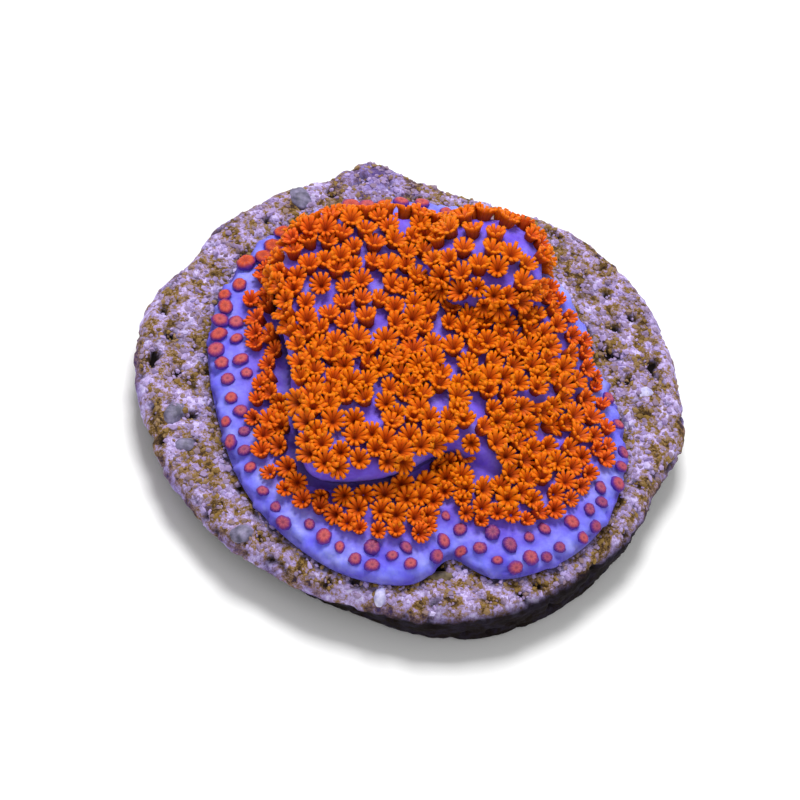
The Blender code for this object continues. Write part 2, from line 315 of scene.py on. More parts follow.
def bud_places(open_places):
    """Places of the retracted polyps, between the open ones and the growing edge."""
    draw = random.Random(POLYP_SEED + 1)
    taken = [centre for centre, _, _, _ in open_places]
    places = []
    for _ in range(BUD_TRIES):
        angle = draw.uniform(0.0, math.tau)
        inside = draw.uniform(*BUD_REACH)
        size = draw.uniform(*BUD_SIZES) * (1.0 + BUD_GROWTH * soft_bump(angle, *BACK_LEFT))
        turn = draw.uniform(0.0, math.tau)
        radius = radius_at(CRUST, angle) - inside
        x = CRUST.x + radius * math.cos(angle)
        y = CRUST.y + radius * math.sin(angle)
        if inside > bare_edge(x, y) + BUD_OVERLAP or inset(TIER, x, y) > -BUD_TIER_GAP:
            continue
        centre = Vector((x, y, crust_top(x, y)))
        if all((centre - other).length > BUD_SPACING for other in taken):
            taken.append(centre)
            places.append((centre, skin_normal(crust_top, x, y), size, turn))
    return places


def wall_places(colony, places):
    """Places of the open polyps on the steep walls at the back and the right, read off the skin."""
    mesh = colony.data
    middle = Vector((*BOX_MIDDLE, 0.0))
    steep = []
    for vert, corner in zip(mesh.vertices, mesh.vertex_normals):
        point = vert.co / MM + middle
        side = math.degrees(math.atan2(point.y - TIER.y, point.x - TIER.x))
        above = point.z - crust_top(point.x, point.y)
        on_wall = corner.vector.z < WALL_STEEPNESS and above > WALL_FOOT
        clear_of_edge = inset(CRUST, point.x, point.y) > BARE_EDGE
        if on_wall and clear_of_edge and WALL_ANGLES[0] < side < WALL_ANGLES[1]:
            steep.append((point, corner.vector.copy()))
    draw = random.Random(POLYP_SEED + 5)
    draw.shuffle(steep)
    taken = [centre + axis * POLYP_HEIGHT for centre, axis, _, _ in places]
    found = []
    for point, normal in steep:
        crown = point + normal * POLYP_HEIGHT
        if all((crown - other).length > WALL_SPACING for other in taken):
            taken.append(crown)
            found.append((point, normal, draw.uniform(*POLYP_SIZES), draw.uniform(0.0, math.tau)))
    return found


# Modelling helpers

def deselect():
    """Nothing selected, so that an operator acts only on what is picked next."""
    if bpy.context.object and bpy.context.object.mode != "OBJECT":
        bpy.ops.object.mode_set(mode="OBJECT")
    bpy.ops.object.select_all(action="DESELECT")


def pick(obj):
    """Only this object selected, and active."""
    deselect()
    obj.select_set(True)
    bpy.context.view_layer.objects.active = obj


def apply_modifiers(obj):
    """Apply an object's modifiers, in their order."""
    pick(obj)
    for name in [modifier.name for modifier in obj.modifiers]:
        bpy.ops.object.modifier_apply(modifier=name)


def select_faces(obj, wanted):
    """In edit mode: select only the faces for which wanted(face) is true."""
    bpy.ops.object.mode_set(mode="OBJECT")
    for face in obj.data.polygons:
        face.select = wanted(face)
    for edge in obj.data.edges:
        edge.select = False
    for vert in obj.data.vertices:
        vert.select = False
    for face in obj.data.polygons:
        if face.select:
            for index in face.vertices:
                obj.data.vertices[index].select = True
    bpy.ops.object.mode_set(mode="EDIT")
    bpy.ops.mesh.select_mode(type="FACE")


def join(objects, name):
    """Objects joined into one of a given name."""
    deselect()
    for obj in objects:
        obj.select_set(True)
    bpy.context.view_layer.objects.active = objects[0]
    if len(objects) > 1:
        bpy.ops.object.join()
    joined = bpy.context.active_object
    joined.name = joined.data.name = name
    return joined


def finish_piece(obj, name, skin, node=None):
    """Bring a piece from millimetres to its place in the frame and tell the frame about it."""
    obj.name = obj.data.name = name
    shift = Matrix.Translation((-BOX_MIDDLE[0], -BOX_MIDDLE[1], 0.0))
    obj.data.transform(Matrix.Scale(MM, 4) @ shift @ obj.matrix_world)
    obj.matrix_world = Matrix.Identity(4)
    obj.data.shade_smooth()
    obj.data.materials.clear()
    obj.data.materials.append(skin)
    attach(obj, "root")
    if node:
        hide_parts(node)
    return obj


def write_attribute(obj, name, values):
    """A number on every vertex, which the piece's material reads."""
    layer = obj.data.attributes.new(name, "FLOAT", "POINT")
    layer.data.foreach_set("value", values)


def lobed_form(outline, rings, segments):
    """A closed lobed form: a sphere whose rings, top to bottom, are moved to given places.

    Each ring is (share, inset, height): it lies at a share of the outline's radius less the
    inset, and its height is a number or a function of the place.
    """
    deselect()
    bpy.ops.mesh.primitive_uv_sphere_add(segments=segments, ring_count=len(rings) - 1, radius=1.0)
    obj = bpy.context.active_object
    for vert in obj.data.vertices:
        polar = math.acos(max(-1.0, min(1.0, vert.co.z)))
        share, inward, height = rings[round(polar / math.pi * (len(rings) - 1))]
        angle = math.atan2(vert.co.y, vert.co.x)
        if callable(inward):
            inward = inward(angle)
        radius = share * radius_at(outline, angle) - inward
        x = outline.x + radius * math.cos(angle)
        y = outline.y + radius * math.sin(angle)
        vert.co = (x, y, height(x, y) if callable(height) else height)
    return obj


# Material helpers

def linear(hex_colour):
    """An sRGB hex colour as linear RGBA."""
    channels = [int(hex_colour[i:i + 2], 16) / 255.0 for i in (1, 3, 5)]
    return [c / 12.92 if c <= 0.04045 else ((c + 0.055) / 1.055) ** 2.4 for c in channels] + [1.0]


def add(tree, kind, links=(), **settings):
    """Add a node; settings name its properties or inputs, and links join (input, socket) pairs."""
    node = tree.nodes.new("ShaderNode" + kind)
    for name, value in settings.items():
        if hasattr(node, name):
            setattr(node, name, value)
        else:
            node.inputs[name.replace("_", " ")].default_value = value
    for name, socket in links:
        tree.links.new(socket, node.inputs[name])
    return node


def ramp(tree, factor, stops):
    """A colour ramp over (position, hex colour) stops."""
    node = add(tree, "ValToRGB", [("Fac", factor)])
    elements = node.color_ramp.elements
    while len(elements) < len(stops):
        elements.new(0.5)
    for element, (position, colour) in zip(elements, stops):
        element.position = position
        element.color = linear(colour)
    return node.outputs["Color"]


def mix(tree, factor, first, second):
    """First and second colour mixed by a socket's value."""
    node = add(tree, "Mix", data_type="RGBA")
    tree.links.new(factor, node.inputs["Factor"])
    for index, colour in ((6, first), (7, second)):
        if isinstance(colour, str):
            node.inputs[index].default_value = linear(colour)
        else:
            tree.links.new(colour, node.inputs[index])
    return node.outputs[2]


def new_material(name):
    """A material with its node tree, its shader and the place on the object in metres."""
    skin = bpy.data.materials.new(name)
    skin.use_nodes = True
    tree = skin.node_tree
    shader = tree.nodes["Principled BSDF"]
    place = add(tree, "TexCoord").outputs["Object"]
    return skin, tree, shader, place


def per_mm(size):
    """Texture scale, in repeats a metre, for a pattern of a given size in millimetres."""
    return 1.0 / (size * MM)


# Materials

def stone_material():
    """Cast aragonite sand and cement: lilac-white and ochre sand in patches, a violet film on the
    rim, near-black pits, and near-black painted shade on the wall at the front right (the stone is
    dark there too) and on the stone next to the colony's foot. It gives a dry, speckled, gritty
    look."""
    skin, tree, shader, place = new_material("cast_sand_cement")
    sand = add(tree, "TexNoise", [("Vector", place)], Scale=per_mm(0.4), Detail=4.0, Roughness=0.8)
    patch = add(tree, "Attribute", attribute_name="patch")
    patches = add(tree, "MapRange", [("Value", patch.outputs["Fac"])],
                  **{"From_Min": -0.5, "From_Max": 0.5, "To_Min": -0.12, "To_Max": 0.12})
    mixed = add(tree, "Math", operation="ADD")
    tree.links.new(sand.outputs["Fac"], mixed.inputs[0])
    tree.links.new(patches.outputs["Result"], mixed.inputs[1])
    speckle = ramp(tree, mixed.outputs["Value"], (
        (0.3, "#3A2A22"), (0.39, "#6C522C"), (0.45, "#94743A"), (0.5, "#9A8290"), (0.55, "#AA94C0"),
        (0.61, "#BEAAE4"), (0.7, "#DCD0FA")))
    stain = add(tree, "TexNoise", [("Vector", place)],
                Scale=per_mm(2.6), Detail=6.0, Roughness=0.65)
    stained = ramp(tree, stain.outputs["Fac"], ((0.55, "#000000"), (0.66, "#C0C0C0")))
    dirty = mix(tree, stained, speckle, "#33241C")
    violet = add(tree, "Attribute", attribute_name="violet").outputs["Fac"]
    filmed = mix(tree, violet, dirty, "#5A4CA6")
    # Near black in the pits, and near-black painted shade on the front right wall and next to the
    # colony's foot.
    pit_and_shade = add(tree, "Attribute", attribute_name="pit_and_shade").outputs["Fac"]
    pitted = mix(tree, pit_and_shade, filmed, "#0C0606")
    tree.links.new(pitted, shader.inputs["Base Color"])
    grit = add(tree, "TexNoise", [("Vector", place)], Scale=per_mm(0.16), Detail=3.0)
    bump = add(tree, "Bump", [("Height", grit.outputs["Fac"])], Strength=0.6, Distance=0.00006)
    tree.links.new(bump.outputs["Normal"], shader.inputs["Normal"])
    shader.inputs["Roughness"].default_value = 0.85
    shader.inputs["Specular IOR Level"].default_value = 0.1
    shader.inputs["IOR"].default_value = 1.5
    return skin


def grain_material():
    """Aragonite sand grains that stand out of the cement: each its own shade, from ochre and tan
    to lilac white, with the faint shine of crystal."""
    skin, tree, shader, _ = new_material("aragonite_sand")
    tint = add(tree, "Attribute", attribute_name="tint").outputs["Fac"]
    shade = ramp(tree, tint, (
        (0.0, "#5A4224"), (0.2, "#927232"), (0.35, "#947650"), (0.5, "#947E9C"), (0.75, "#B09AD0"),
        (0.92, "#C0AEE4"), (1.0, "#D0C2F0")))
    tree.links.new(shade, shader.inputs["Base Color"])
    shader.inputs["Roughness"].default_value = 0.6
    shader.inputs["Specular IOR Level"].default_value = 0.25
    shader.inputs["IOR"].default_value = 1.6
    return skin


def pebble_material(name, light, dark):
    """A water-worn pebble or chip of shell: smooth and faintly mottled."""
    skin, tree, shader, place = new_material(name)
    mottle = add(tree, "TexNoise", [("Vector", place)], Scale=per_mm(0.5), Detail=4.0)
    tree.links.new(ramp(tree, mottle.outputs["Fac"], ((0.35, dark), (0.65, light))),
                   shader.inputs["Base Color"])
    shader.inputs["Roughness"].default_value = 0.6
    shader.inputs["IOR"].default_value = 1.52
    return skin


def tissue_material():
    """Living coral tissue over a white skeleton: moist, slightly translucent blue violet with a
    soft mottle, a clearer blue on the young growing edge, purple painted shade at its hem and round
    each polyp, and dark plum where the lip of the tier keeps the light off it."""
    skin, tree, shader, place = new_material("coral_tissue")
    drift = add(tree, "TexNoise", [("Vector", place)], Scale=per_mm(1.6), Detail=4.0, Roughness=0.6)
    drift = drift.outputs["Fac"]
    body = ramp(tree, drift, ((0.3, "#6A4AD4"), (0.5, "#7C62F2"), (0.7, "#9488FF")))
    edge = ramp(tree, drift, ((0.3, "#6E68F8"), (0.5, "#868AFF"), (0.7, "#A6AAFF")))
    young = add(tree, "Attribute", attribute_name="young").outputs["Fac"]
    skin_colour = mix(tree, young, body, edge)
    # Purple painted shade round each polyp's foot and along the hem where the edge meets the stone.
    polyp_and_hem_shade = add(tree, "Attribute", attribute_name="polyp_and_hem_shade").outputs["Fac"]
    shade_ringed = mix(tree, polyp_and_hem_shade, skin_colour, "#4A1E9A")
    under = add(tree, "Attribute", attribute_name="under").outputs["Fac"]
    whole = mix(tree, under, shade_ringed, "#2C0C34")
    tree.links.new(whole, shader.inputs["Base Color"])
    pores = add(tree, "TexVoronoi", [("Vector", place)], Scale=per_mm(0.25))
    bump = add(tree, "Bump", [("Height", pores.outputs["Distance"])],
               Strength=0.4, Distance=0.00005)
    tree.links.new(bump.outputs["Normal"], shader.inputs["Normal"])
    shader.inputs["Subsurface Weight"].default_value = 0.25
    shader.inputs["Subsurface Radius"].default_value = (0.5, 0.35, 1.0)
    shader.inputs["Subsurface Scale"].default_value = 0.0005
    shader.inputs["Roughness"].default_value = 0.5
    shader.inputs["Specular IOR Level"].default_value = 0.3
    shader.inputs["IOR"].default_value = 1.36
    return skin


def spokes(tree):
    """1 on the folds that run from each small body's mouth to its rim, and 0 between them."""
    own = add(tree, "Attribute", attribute_name="own_place").outputs["Vector"]
    parts = add(tree, "SeparateXYZ", [("Vector", own)])
    angle = add(tree, "Math", operation="ARCTAN2")
    tree.links.new(parts.outputs["Y"], angle.inputs[0])
    tree.links.new(parts.outputs["X"], angle.inputs[1])
    turned = add(tree, "Math", operation="SUBTRACT")
    tree.links.new(angle.outputs["Value"], turned.inputs[0])
    turned.inputs[1].default_value = math.pi / 2.0
    waves = add(tree, "Math", operation="MULTIPLY")
    tree.links.new(turned.outputs["Value"], waves.inputs[0])
    tree.links.new(parts.outputs["Z"], waves.inputs[1])
    crest = add(tree, "Math", operation="COSINE")
    tree.links.new(waves.outputs["Value"], crest.inputs[0])
    return add(tree, "MapRange", [("Value", crest.outputs["Value"])],
               **{"From_Min": 0.4, "From_Max": 1.0}).outputs["Result"]


def fleshy(tree, shader, colour, folds, depth, radius, shine):
    """Wet translucent flesh in a colour, creased along its folds."""
    tree.links.new(colour, shader.inputs["Base Color"])
    crease = add(tree, "Bump", [("Height", folds)], Strength=depth, Distance=0.00004)
    crease.invert = True
    tree.links.new(crease.outputs["Normal"], shader.inputs["Normal"])
    shader.inputs["Subsurface Weight"].default_value = 0.35
    shader.inputs["Subsurface Radius"].default_value = radius
    shader.inputs["Subsurface Scale"].default_value = 0.0003
    shader.inputs["Roughness"].default_value = shine
    shader.inputs["Specular IOR Level"].default_value = 0.2
    shader.inputs["IOR"].default_value = 1.36


def polyp_material():
    """Fleshy polyps: translucent orange, darker down in the mouth and on the stalk (partly their
    own deeper colour, partly painted shade), darker along the folds of the bowl as painted shade in
    the creases, and bright at the rounded tips. Those near the growing edge are redder."""
    skin, tree, shader, _ = new_material("orange_polyps")
    reach = add(tree, "Attribute", attribute_name="reach").outputs["Fac"]
    # Dark at reach 0, in the mouth and on the stalk: partly the flesh's deeper colour, partly
    # painted shade.
    flesh = ramp(tree, reach, (
        (0.0, "#862800"), (0.2, "#A84000"), (0.45, "#CA5A00"), (0.75, "#E06C00"), (1.0, "#EE7E02")))
    tint = add(tree, "Attribute", attribute_name="tint").outputs["Fac"]
    rosy = ramp(tree, reach, ((0.0, "#861E04"), (0.45, "#C23E0A"), (1.0, "#F0621A")))
    whole = mix(tree, tint, flesh, rosy)
    folds = spokes(tree)
    # Painted shade in the creases along the folds.
    weight = add(tree, "MapRange", [("Value", folds)], **{"To_Max": 0.3})
    creased = mix(tree, weight.outputs["Result"], whole, "#7A2400")
    fleshy(tree, shader, creased, folds, 0.5, (1.0, 0.3, 0.05), 0.5)
    return skin


def bud_material():
    """Retracted polyps: closed, red-orange to salmon or dusky pink in the middle and dark purple
    round the rim, where they blend into the tissue under painted shadow round their foot, with
    faint pale lines where their tentacles fold towards the mouth."""
    skin, tree, shader, _ = new_material("retracted_polyps")
    reach = add(tree, "Attribute", attribute_name="reach").outputs["Fac"]
    # At reach 0, the rim and underside, every ramp is dark purple: the tissue's colour with painted
    # shadow round the foot.
    warm = ramp(tree, reach, (
        (0.0, "#5C34A0"), (0.3, "#A23A44"), (0.7, "#D2541E"), (1.0, "#A83418")))
    flesh = ramp(tree, reach, (
        (0.0, "#5C3AB4"), (0.3, "#7A3480"), (0.6, "#AA4864"), (0.88, "#C45C62"), (1.0, "#8A3450")))
    dusky = ramp(tree, reach, (
        (0.0, "#523096"), (0.4, "#6C307C"), (0.85, "#924470"), (1.0, "#642664")))
    tint = add(tree, "Attribute", attribute_name="tint").outputs["Fac"]
    cool = add(tree, "MapRange", [("Value", tint)], **{"From_Max": 0.4}).outputs["Result"]
    dull = add(tree, "MapRange", [("Value", tint)], **{"From_Min": 0.4}).outputs["Result"]
    whole = mix(tree, dull, mix(tree, cool, warm, flesh), dusky)
    folds = spokes(tree)
    weight = add(tree, "Math", operation="MULTIPLY")
    tree.links.new(folds, weight.inputs[0])
    tree.links.new(reach, weight.inputs[1])
    faint = add(tree, "MapRange", [("Value", weight.outputs["Value"])], **{"To_Max": 0.3})
    lined = mix(tree, faint.outputs["Result"], whole, "#E08A88")
    fleshy(tree, shader, lined, folds, 0.15, (1.0, 0.4, 0.6), 0.5)
    return skin


# Stone

def stone_wall(angle):
    """How far the foot of the disc's wall stands in: undercut, but upright on one side."""
    return FOOT_INSET + UNDERCUT * (1.0 - soft_bump(angle, UPRIGHT_WALL_AT, UPRIGHT_WALL_WIDTH))


def between(a, b, share):
    """The value at a share of the way from a to b."""
    return a + (b - a) * share


def disc_rings():
    """Rings down the disc: few under the colony, close together where the stone shows."""
    rings = [(0.0, 0.0, DISC_TOP), (0.25, 0.0, DISC_TOP), (0.45, 0.0, DISC_TOP)]
    for i in range(TOP_RINGS):
        share = i / (TOP_RINGS - 1)
        inward = between(7.0, 0.75, share)
        rings.append((1.0, inward, between(DISC_TOP, DISC_TOP - 0.12, share ** 6)))
    for inward, z in ((0.62, -0.18), (0.48, -0.27), (0.35, -0.37), (0.22, -0.5), (0.12, -0.65),
                      (0.05, -0.8), (0.01, -0.95), (0.0, -RIM_DEPTH)):
        rings.append((1.0, inward, DISC_TOP + z))
    for i in range(1, WALL_RINGS + 1):
        share = i / WALL_RINGS
        rings.append((1.0, lambda angle, s=share: s * stone_wall(angle),
                      between(DISC_TOP - RIM_DEPTH, 0.3, share)))
    rings.append((1.0, lambda angle: stone_wall(angle) + 0.2, 0.12))
    rings.append((1.0, lambda angle: stone_wall(angle) + 0.5, 0.0))
    rings.append((1.0, lambda angle: stone_wall(angle) + 1.2, 0.0))
    rings += [(0.7, 0.0, 0.0), (0.4, 0.0, 0.0), (0.0, 0.0, 0.0)]
    return rings


def grain_relief(point):
    """Height and hollowness of the sandy surface at a place on it."""
    near, _ = noise.voronoi(point / 0.55)
    coarse = 0.10 * (0.5 - near[0])
    near, _ = noise.voronoi((point + Vector((7.0, 3.0, 1.0))) / 0.3)
    fine = 0.07 * (0.5 - near[0])
    swell = 0.14 * noise.noise(point * 0.5)
    rough = 0.10 * noise.noise(point * 1.7)
    pit = max(0.0, noise.noise((point + Vector((0.0, 0.0, 9.0))) * 1.15) - 0.22)
    pit_and_shade = min(1.0, 3.2 * pit)
    return coarse + fine + swell + rough - 0.9 * pit, pit_and_shade


def sand_patch(point):
    """Where the sand is ochre, below zero, and where it is lilac white, above zero."""
    return noise.noise(point * 0.9) + 0.5 * noise.noise(point * 2.2)


def violet_film(point):
    """Violet film on the stone: on the pointed lobe at the back, and thinly along the rim."""
    lobe = math.exp(-((point.x + 5.4) ** 2 + (point.y - 14.6) ** 2) / 4.5)
    rim = 0.45 * max(0.0, 1.0 - inset(DISC, point.x, point.y) / 0.4)
    return min(1.0, 0.6 * lobe + rim * (0.6 + noise.noise(point * 0.6)))


def make_disc(skin):
    """The stone disc: gritty and pitted where it shows, plain under the colony, flat below."""
    disc = lobed_form(DISC, disc_rings(), DISC_SEGMENTS)
    mesh = disc.data
    pits_and_shade = [0.0] * len(mesh.vertices)
    violets = [violet_film(vert.co) for vert in mesh.vertices]
    patches = [sand_patch(vert.co) for vert in mesh.vertices]
    for vert, corner in zip(mesh.vertices, mesh.vertex_normals):
        point = vert.co
        # The underside is darkened a little.
        if point.z < 0.05:
            pits_and_shade[vert.index] = 0.3
            continue
        under_coral = inset(CRUST, point.x, point.y) > 0.6 and point.z > DISC_TOP - 0.3
        height, pit_and_shade = grain_relief(point)
        if under_coral:
            continue
        # Painted shade: below its rim the wall on the front right is darkened nearly to black, over
        # stone that is dark there too.
        angle = math.atan2(point.y, point.x)
        shaded_side = soft_bump(angle, UPRIGHT_WALL_AT, SHADED_WALL_WIDTH)
        wall_shade = max(0.0, min(1.0, (between(1.9, 3.2, shaded_side) - point.z) / 0.5))
        # Painted shadow: the stone just outside the colony's foot is darkened.
        gap = max(0.0, -inset(CRUST, point.x, point.y))
        shade_next_to_colony = math.exp(-(gap / 0.45) ** 2) * (0.55 + noise.noise(point * 0.9))
        pits_and_shade[vert.index] = max(pit_and_shade, 0.97 * wall_shade, min(0.9, shade_next_to_colony))
        wall = min(1.0, point.z / 0.6)
        vert.co = point + corner.vector * height * wall
    write_attribute(disc, "pit_and_shade", pits_and_shade)
    write_attribute(disc, "violet", violets)
    write_attribute(disc, "patch", patches)
    return finish_piece(disc, "frag_disc_stone", skin, "frag_disc")


def model_grain(seed):
    """One angular sand grain."""
    deselect()
    bpy.ops.mesh.primitive_ico_sphere_add(subdivisions=1, radius=1.0)
    grain = bpy.context.active_object
    for vert in grain.data.vertices:
        vert.co *= 1.0 + 0.5 * noise.noise(vert.co * 1.3 + Vector((seed * 7.0, 0.0, 0.0)))
    write_attribute(grain, "reach", [0.0] * len(grain.data.vertices))
    return grain


def make_grains(disc, skin):
    """Coarse sand grains, bedded in the disc where it isn't covered by the colony."""
    models = [model_grain(seed) for seed in range(GRAIN_MODELS)]
    draw = random.Random(GRAIN_SEED)
    mesh = disc.data
    middle = Vector((*BOX_MIDDLE, 0.0))
    bare = []
    for vert in mesh.vertices:
        point = vert.co / MM + middle
        room = inset(DISC, point.x, point.y)
        if point.z > DISC_TOP - 0.6 and room > 0.3 and inset(CRUST, point.x, point.y) < 0.1:
            bare.append((point, mesh.vertex_normals[vert.index].vector.copy()))
    stands = []
    for point, normal in draw.sample(bare, GRAINS):
        size = draw.choice(GRAIN_SIZES) * draw.uniform(0.8, 1.2)
        flat = Matrix.Diagonal((1.0, draw.uniform(0.6, 1.0), draw.uniform(0.5, 0.9), 1.0))
        stand = stand_on(point - normal * 0.1 * size, normal, draw.uniform(0.0, math.tau), size)
        shade = 0.2 + 0.65 * draw.random() + 0.35 * sand_patch(point)
        stands.append((stand @ flat, max(0.0, min(1.0, shade))))
    grains = plant(models, stands, "sand_grains", skin, draw)
    remove(models)
    pick(grains)
    grains.data.shade_flat()


def make_pebble(name, x, y, along, across, high, turn, skin):
    """A worn pebble, bedded in the disc's top."""
    deselect()
    bpy.ops.mesh.primitive_ico_sphere_add(
        subdivisions=4, radius=1.0, location=(x, y, DISC_TOP - PEBBLE_DEPTH))
    pebble = bpy.context.active_object
    for vert in pebble.data.vertices:
        lump = 1.0 + 0.18 * noise.noise(vert.co * 1.1 + Vector((x, y, 0.0)))
        lump += 0.05 * noise.noise(vert.co * 4.0 + Vector((y, x, 0.0)))
        half_sizes = Vector((vert.co.x * along, vert.co.y * across, vert.co.z * high))
        vert.co = half_sizes * PEBBLE_SIZE * lump
    pebble.rotation_euler.z = math.radians(turn)
    bpy.context.view_layer.update()
    return finish_piece(pebble, name, skin)


# Colony skin

def crust_shell():
    """The thin crust, bedded in the disc's top."""
    rings = [(share, 0.0, crust_top) for share in (0.0, 0.2, 0.4, 0.55, 0.68, 0.78, 0.86)]
    rings += [(1.0, inward, crust_top) for inward in (1.4, 1.0, 0.7, 0.48, 0.32, 0.2, 0.1, 0.03)]
    rings += [(1.0, 0.0, DISC_TOP + 0.5), (1.0, 0.04, DISC_TOP + 0.2), (1.0, 0.15, CRUST_FLOOR),
              (0.5, 0.0, CRUST_FLOOR), (0.0, 0.0, CRUST_FLOOR)]
    return lobed_form(CRUST, rings, 200)


def tier_shell():
    """The upper tier, with its thick lip over a wall that stands further in."""
    def under_lip(x, y):
        return max(LEAST_LIP_HEIGHT, tier_top(x, y) - TIER_LIP)
    rings = [(share, 0.0, tier_top) for share in (0.0, 0.15, 0.3, 0.45, 0.58, 0.7, 0.8)]
    rings += [(1.0, inward, tier_top) for inward in (1.2, 0.8, 0.55, 0.36, 0.22, 0.1, 0.02)]
    rings += [(1.0, 0.0, lambda x, y: tier_top(x, y) - 0.15),
              (1.0, 0.1, lambda x, y: under_lip(x, y) + 0.35),
              (1.0, 0.3, under_lip), (1.0, 1.7, TIER_FLOOR), (0.0, 0.0, TIER_FLOOR)]
    return lobed_form(TIER, rings, 200)


def knob_shell():
    """The rounded knob, sunk into the tier."""
    rings = [(share, 0.0, knob_top) for share in (0.0, 0.25, 0.45, 0.6, 0.75, 0.86, 0.93, 0.98)]
    rings += [(1.0, 0.0, KNOB_BASE), (1.0, 0.1, KNOB_BASE - 0.4), (1.0, 0.45, KNOB_BASE - 0.8),
              (1.0, 1.2, KNOB_BASE - 1.8), (0.0, 0.0, KNOB_BASE - 1.8)]
    return lobed_form(KNOB, rings, 120)


def shade_under_lip(point, normal):
    """How deep in the shade of the tier's lip a place on the skin is."""
    lip_height = tier_top(point.x, point.y) - TIER_LIP
    if lip_height - crust_top(point.x, point.y) < 0.1:
        return 0.0
    away = abs(inset(TIER, point.x, point.y) - 0.2)
    below = max(0.0, min(1.0, (lip_height + 0.9 - point.z) / 0.7))
    return 0.85 * below * math.exp(-(away / 0.9) ** 2) * (0.6 + 0.4 * (normal.z < 0.6))


def make_skin(skin, feet):
    """One grown skin from the crust, the tier and the knob, with a low mound at each polyp."""
    colony = join([crust_shell(), tier_shell(), knob_shell()], "coral_skin")
    remesh = colony.modifiers.new("Grown together", "REMESH")
    remesh.mode = "VOXEL"
    remesh.voxel_size = SKIN_VOXEL
    smooth = colony.modifiers.new("Soft", "SMOOTH")
    smooth.factor = 0.5
    smooth.iterations = SKIN_SMOOTHING
    apply_modifiers(colony)
    tree = kdtree.KDTree(len(feet))
    for index, foot in enumerate(feet):
        tree.insert(foot, index)
    tree.balance()
    young, polyp_and_hem_shade, under = [], [], []
    for vert, corner in zip(colony.data.vertices, colony.data.vertex_normals):
        point = vert.co.copy()
        _, _, away = tree.find(point)
        lift = MOUND_HEIGHT * math.exp(-(away / MOUND_RADIUS) ** 2)
        lift += 0.08 * noise.noise(point * 0.9)
        lift += 0.04 * noise.noise(point * 2.6) + 0.02 * noise.noise(point * 6.0)
        edge = inset(CRUST, point.x, point.y)
        lobes = 0.25 * noise.noise(point * 0.8) + 0.35 * noise.noise(point * 1.6) - 0.05
        lift += lobes * math.exp(-(max(edge, 0.0) / 0.6) ** 2)
        young.append(max(0.0, min(1.0, 1.25 - edge / 2.4)))
        # Painted shade in purple round each polyp's foot and along the hem where the edge meets the
        # stone.
        hem = math.exp(-(max(edge, 0.0) / 0.22) ** 2)
        polyp_and_hem_shade.append(min(1.0, 0.6 * math.exp(-(away / 0.48) ** 2) + 0.5 * hem))
        under.append(shade_under_lip(point, corner.vector))
        if point.z > DISC_TOP + 0.3:
            vert.co = point + corner.vector * lift
    write_attribute(colony, "under", under)
    write_attribute(colony, "young", young)
    write_attribute(colony, "polyp_and_hem_shade", polyp_and_hem_shade)
    return finish_piece(colony, "coral_skin", skin, "coral_colony")


# Polyps

def model_polyp(tentacles, spread, seed):
    """One open polyp, modelled upright at the origin in millimetres.

    A stalk widens into a fleshy bowl with a small mouth at its bottom, and each face of the
    bowl's rim is drawn out into a short blunt tentacle.
    """
    draw = random.Random(seed)
    deselect()
    bpy.ops.mesh.primitive_cone_add(
        vertices=tentacles, radius1=STALK_RADIUS, radius2=BOWL_RADIUS, depth=BOWL_RIM + POLYP_FOOT,
        location=(0.0, 0.0, (BOWL_RIM - POLYP_FOOT) / 2.0))
    polyp = bpy.context.active_object
    bpy.ops.object.transform_apply()
    select_faces(polyp, lambda face: face.normal.z > 0.9)
    bpy.ops.mesh.inset(thickness=0.17, depth=0.02)
    bpy.ops.mesh.inset(thickness=0.14, depth=-0.24)
    select_faces(polyp, lambda face: face.normal.z > 0.5 and face.center.z > BOWL_RIM - 0.05)
    bpy.ops.mesh.inset(thickness=0.04, depth=0.24, use_individual=True)
    bpy.ops.object.mode_set(mode="OBJECT")
    lengths = [draw.uniform(0.7, 1.35) for _ in range(tentacles)]
    # Reach is 0 in the mouth and on the stalk, which the material paints dark, partly as painted
    # shade.
    reach = []
    for vert in polyp.data.vertices:
        above = vert.co.z - BOWL_RIM - 0.05
        if above > 0.0:
            angle = math.atan2(vert.co.y, vert.co.x) - math.pi / 2.0
            length = lengths[int(angle / math.tau * tentacles % tentacles)]
            vert.co.z += above * (length - 1.0) - 0.1 * spread * length
            vert.co.xy *= 1.0 + spread * length
            reach.append(1.0)
        elif vert.co.z > BOWL_RIM - 0.05:
            reach.append(0.4)
        else:
            reach.append(0.0)
        vert.co += 0.035 * noise.noise_vector(vert.co * 2.5 + Vector((seed * 5.0, 0.0, 0.0)))
    write_attribute(polyp, "reach", reach)
    polyp["spokes"] = tentacles
    return polyp


def model_bud(spokes, seed):
    """One retracted polyp: a low dome whose folded tentacles show as soft ribs round a dimple."""
    deselect()
    bpy.ops.mesh.primitive_uv_sphere_add(segments=16, ring_count=8, radius=1.0)
    bud = bpy.context.active_object
    reach = []
    for vert in bud.data.vertices:
        out = vert.co.xy.length
        reach.append(max(0.0, 1.0 - out ** 2) if vert.co.z > -0.01 else 0.0)
        lump = 1.0 + 0.24 * noise.noise(vert.co * 1.8 + Vector((seed * 3.0, 0.0, 0.0)))
        dimple = 0.5 * math.exp(-(out / 0.3) ** 2)
        vert.co = Vector((vert.co.x * BUD_RADIUS * lump, vert.co.y * BUD_RADIUS * lump,
                          (vert.co.z - dimple) * 0.18 + 0.11))
    write_attribute(bud, "reach", reach)
    bud["spokes"] = spokes
    return bud


